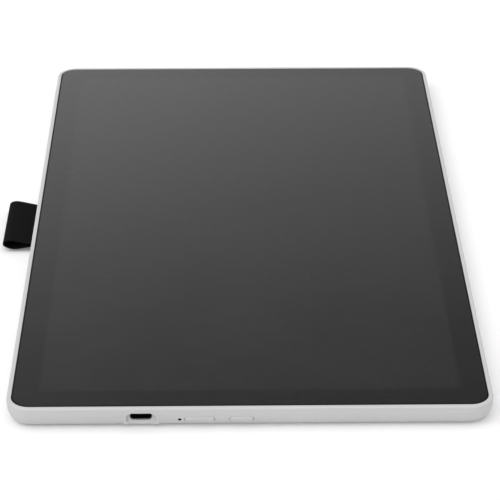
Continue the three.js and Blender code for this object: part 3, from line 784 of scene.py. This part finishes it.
def strap_section():
    """The strap's cut edge: ribs across both faces, and a thicker rolled selvedge at each side."""
    half = LOOP_SHEET / 2
    across = np.linspace(-LOOP_HALF + half, LOOP_HALF - half, LOOP_RIBS * RIB_POINTS + 1)
    share = (across - across[0]) / (across[-1] - across[0])
    rib = RIB_HALF * (1 - np.cos(2 * math.pi * LOOP_RIBS * share))
    from_edge = LOOP_HALF - half - np.abs(across)
    selvedge = SELVEDGE * np.exp(-((from_edge / SELVEDGE_WIDTH) ** 4))
    face = half - RIB_SUNK + rib * np.clip(from_edge / RIB_FADE, 0, 1) + selvedge
    points = [(v, h) for v, h in zip(across, face)]
    for sine, cosine in arc(8, 0, 180)[1:-1]:
        points.append((LOOP_HALF - half + half * sine * EDGE_ROLL, face[-1] * cosine))
    points += [(v, -h) for v, h in zip(across[::-1], face[::-1])]
    for sine, cosine in arc(8, 0, 180)[1:-1]:
        points.append((-LOOP_HALF + half - half * sine * EDGE_ROLL, -face[0] * cosine))
    return np.array(points)


def make_loop():
    """The strap, swept along its path, with its layers' ends held in the housing's slot."""
    line, along = loop_path()
    section = strap_section()
    way = np.gradient(line, axis=0)
    way /= np.linalg.norm(way, axis=1)[:, None]
    out = np.column_stack([-way[:, 1], way[:, 0]])
    rings = []
    for point, normal in zip(line, out):
        x = point[0] - normal[0] * section[:, 1]
        z = point[1] - normal[1] * section[:, 1]
        rings.append(np.column_stack([x, section[:, 0] + LOOP_MIDDLE, z]))
    strap = new_object("pen_loop_strap", loft(rings))
    place_weave(strap, line, along)
    smooth(strap, 70)
    finish_piece(strap, webbing_look(), "webbing", "pen_loop")


def place_weave(strap, line, along):
    """Writes how far along and across the strap each point lies, in millimetres, for the weave."""
    places = np.array([v.co for v in strap.data.vertices]) / MM
    length = np.empty(len(places))
    for start in range(0, len(places), WEAVE_BATCH):
        part = places[start : start + WEAVE_BATCH]
        away = np.hypot(part[:, None, 0] - line[None, :, 0], part[:, None, 2] - line[None, :, 1])
        length[start : start + WEAVE_BATCH] = along[away.argmin(1)]
    for name, values in (("along", length), ("across", places[:, 1])):
        layer = strap.data.attributes.new(name, "FLOAT", "POINT")
        layer.data.foreach_set("value", values.astype(np.float32))


# ---- Underside ----


def make_feet():
    """Four rubber pads, each with a rounded sole and a shallow groove round it."""
    look = rubber_look()
    for name in FEET:
        middle = foot_middle(name)
        profile = [(0.1, FOOT_TOP), (0.0, FOOT_TOP - 0.1)]
        profile += [(0.35 * (1 - cosine), 0.35 * (1 - sine)) for sine, cosine in arc(6)]
        profile += [(1.5, 0.0), (1.62, 0.12), (1.88, 0.12), (2.0, 0.0)]
        rings = []
        for inset, z in profile:
            outline = stadium(FOOT_HALF[0] - inset, FOOT_HALF[1] - inset, 20, middle[:2])
            rings.append(at_z(outline, z))
        foot = new_object(name.replace("rubber_foot", "foot_pad"), loft(rings))
        smooth(foot, 40)
        finish_piece(foot, look, "foot_rubber", name)


# ---- What stays as the CAD made it ----


def dress_inner_parts():
    """Gives every carried-over node a look of its own kind, by its slot in the record."""
    looks = {
        "border_print": sheet_look("border_print", grey(0.006), 0.6),
        "optical_film": sheet_look("optical_film", grey(0.78), 0.4, 1.5, 0.05),
        "clear_acrylic": sheet_look("clear_acrylic", (0.82, 0.86, 0.88, 1.0), 0.12, 2.0, 0.04),
        "display_cell": sheet_look("display_cell", grey(0.011), 0.15, 3.0),
        "foam_tape": sheet_look("foam_tape", grey(0.012), 0.9, 0.2),
        "aluminium": metal_look("aluminium", grey(0.62), 0.38),
        "steel": metal_look("steel", grey(0.42), 0.32),
        "circuit_board": circuit_look(),
        "flex_circuit": sheet_look("flex_circuit", (0.42, 0.16, 0.03, 1.0), 0.35, 0.8),
        "chip": sheet_look("chip", grey(0.012), 0.6, 0.25),
        "insulator": bpy.data.materials["insulator"],
        "inner_plastic": sheet_look("inner_plastic", grey(0.04), 0.6, 0.5),
        "label": label_look(),
    }
    for part in frame["record"]["subparts"]:
        obj = frame["nodes"][part["node"]]
        if part["material_slot"] in looks:
            obj.data.materials.clear()
            obj.data.materials.append(looks[part["material_slot"]])


# ---- Studio ----


def make_floor():
    turn = np.linspace(0, 2 * math.pi, FLOOR_SIDES, endpoint=False)
    rim = np.column_stack([FLOOR_RADIUS * np.cos(turn), FLOOR_RADIUS * np.sin(turn)])
    floor = new_object("floor", loft([at_z(rim, -FLOOR_DEPTH), at_z(rim, 0.0)]))
    look, shader = new_look("floor", Roughness=0.9, Specular_IOR_Level=0.1, Emission_Strength=FLOOR_GLOW)
    shader.inputs["Emission Color"].default_value = grey(1.0)
    tree = look.node_tree
    base = blend_colour(tree, spread(tree, noise(tree, 60.0), 0.0, 1.0), grey(0.77), grey(0.79))
    tree.links.new(base, shader.inputs["Base Color"])
    floor.data.materials.append(look)


def make_world():
    """A dim studio with wide soft lights: overhead, in front to the left, low down behind, and right."""
    world = bpy.data.worlds.new("studio")
    world.use_nodes = True
    bpy.context.scene.world = world
    tree = world.node_tree
    way = new_node(tree, "ShaderNodeTexCoord").outputs["Generated"]
    level = None
    for glow in GLOWS:
        toward = tuple(Vector(glow["toward"]).normalized())
        near = new_node(tree, "ShaderNodeVectorMath", {0: way, 1: toward}, operation="DOT_PRODUCT")
        inputs = {"Value": near.outputs["Value"], "From Min": glow["start"], "From Max": glow["full"]}
        inputs["To Max"] = glow["level"]
        part = new_node(tree, "ShaderNodeMapRange", inputs, interpolation_type="SMOOTHSTEP")
        level = arithmetic(tree, "ADD", part.outputs["Result"], SKY if level is None else level)
    tree.links.new(level, tree.nodes["Background"].inputs["Strength"])
    tree.nodes["Background"].inputs["Color"].default_value = grey(1.0)


def make_camera():
    data = bpy.data.cameras.new("camera")
    data.sensor_width = 36
    data.lens = CAMERA["lens"]
    data.clip_start = 0.01
    camera = bpy.data.objects.new("camera", data)
    x, y, z = CAMERA["from_glass_middle"]
    camera.location = Vector((x + MIDDLE_X, y, z + GLASS_HIGH[2])) * MM
    camera.rotation_euler = CAMERA["turn"]
    bpy.context.scene.collection.objects.link(camera)
    bpy.context.scene.camera = camera


bpy.context.scene.view_settings.view_transform = "Standard"
make_camera()
make_world()
make_floor()

make_housing()
make_glass()
key_look = plastic_look("key", grey(0.5), 0.46, 0.3, 0.015)
for key_name, key_place in KEYS.items():
    make_key(key_name, key_place, key_look)
make_port()
make_light()
make_loop()
make_feet()
dress_inner_parts()
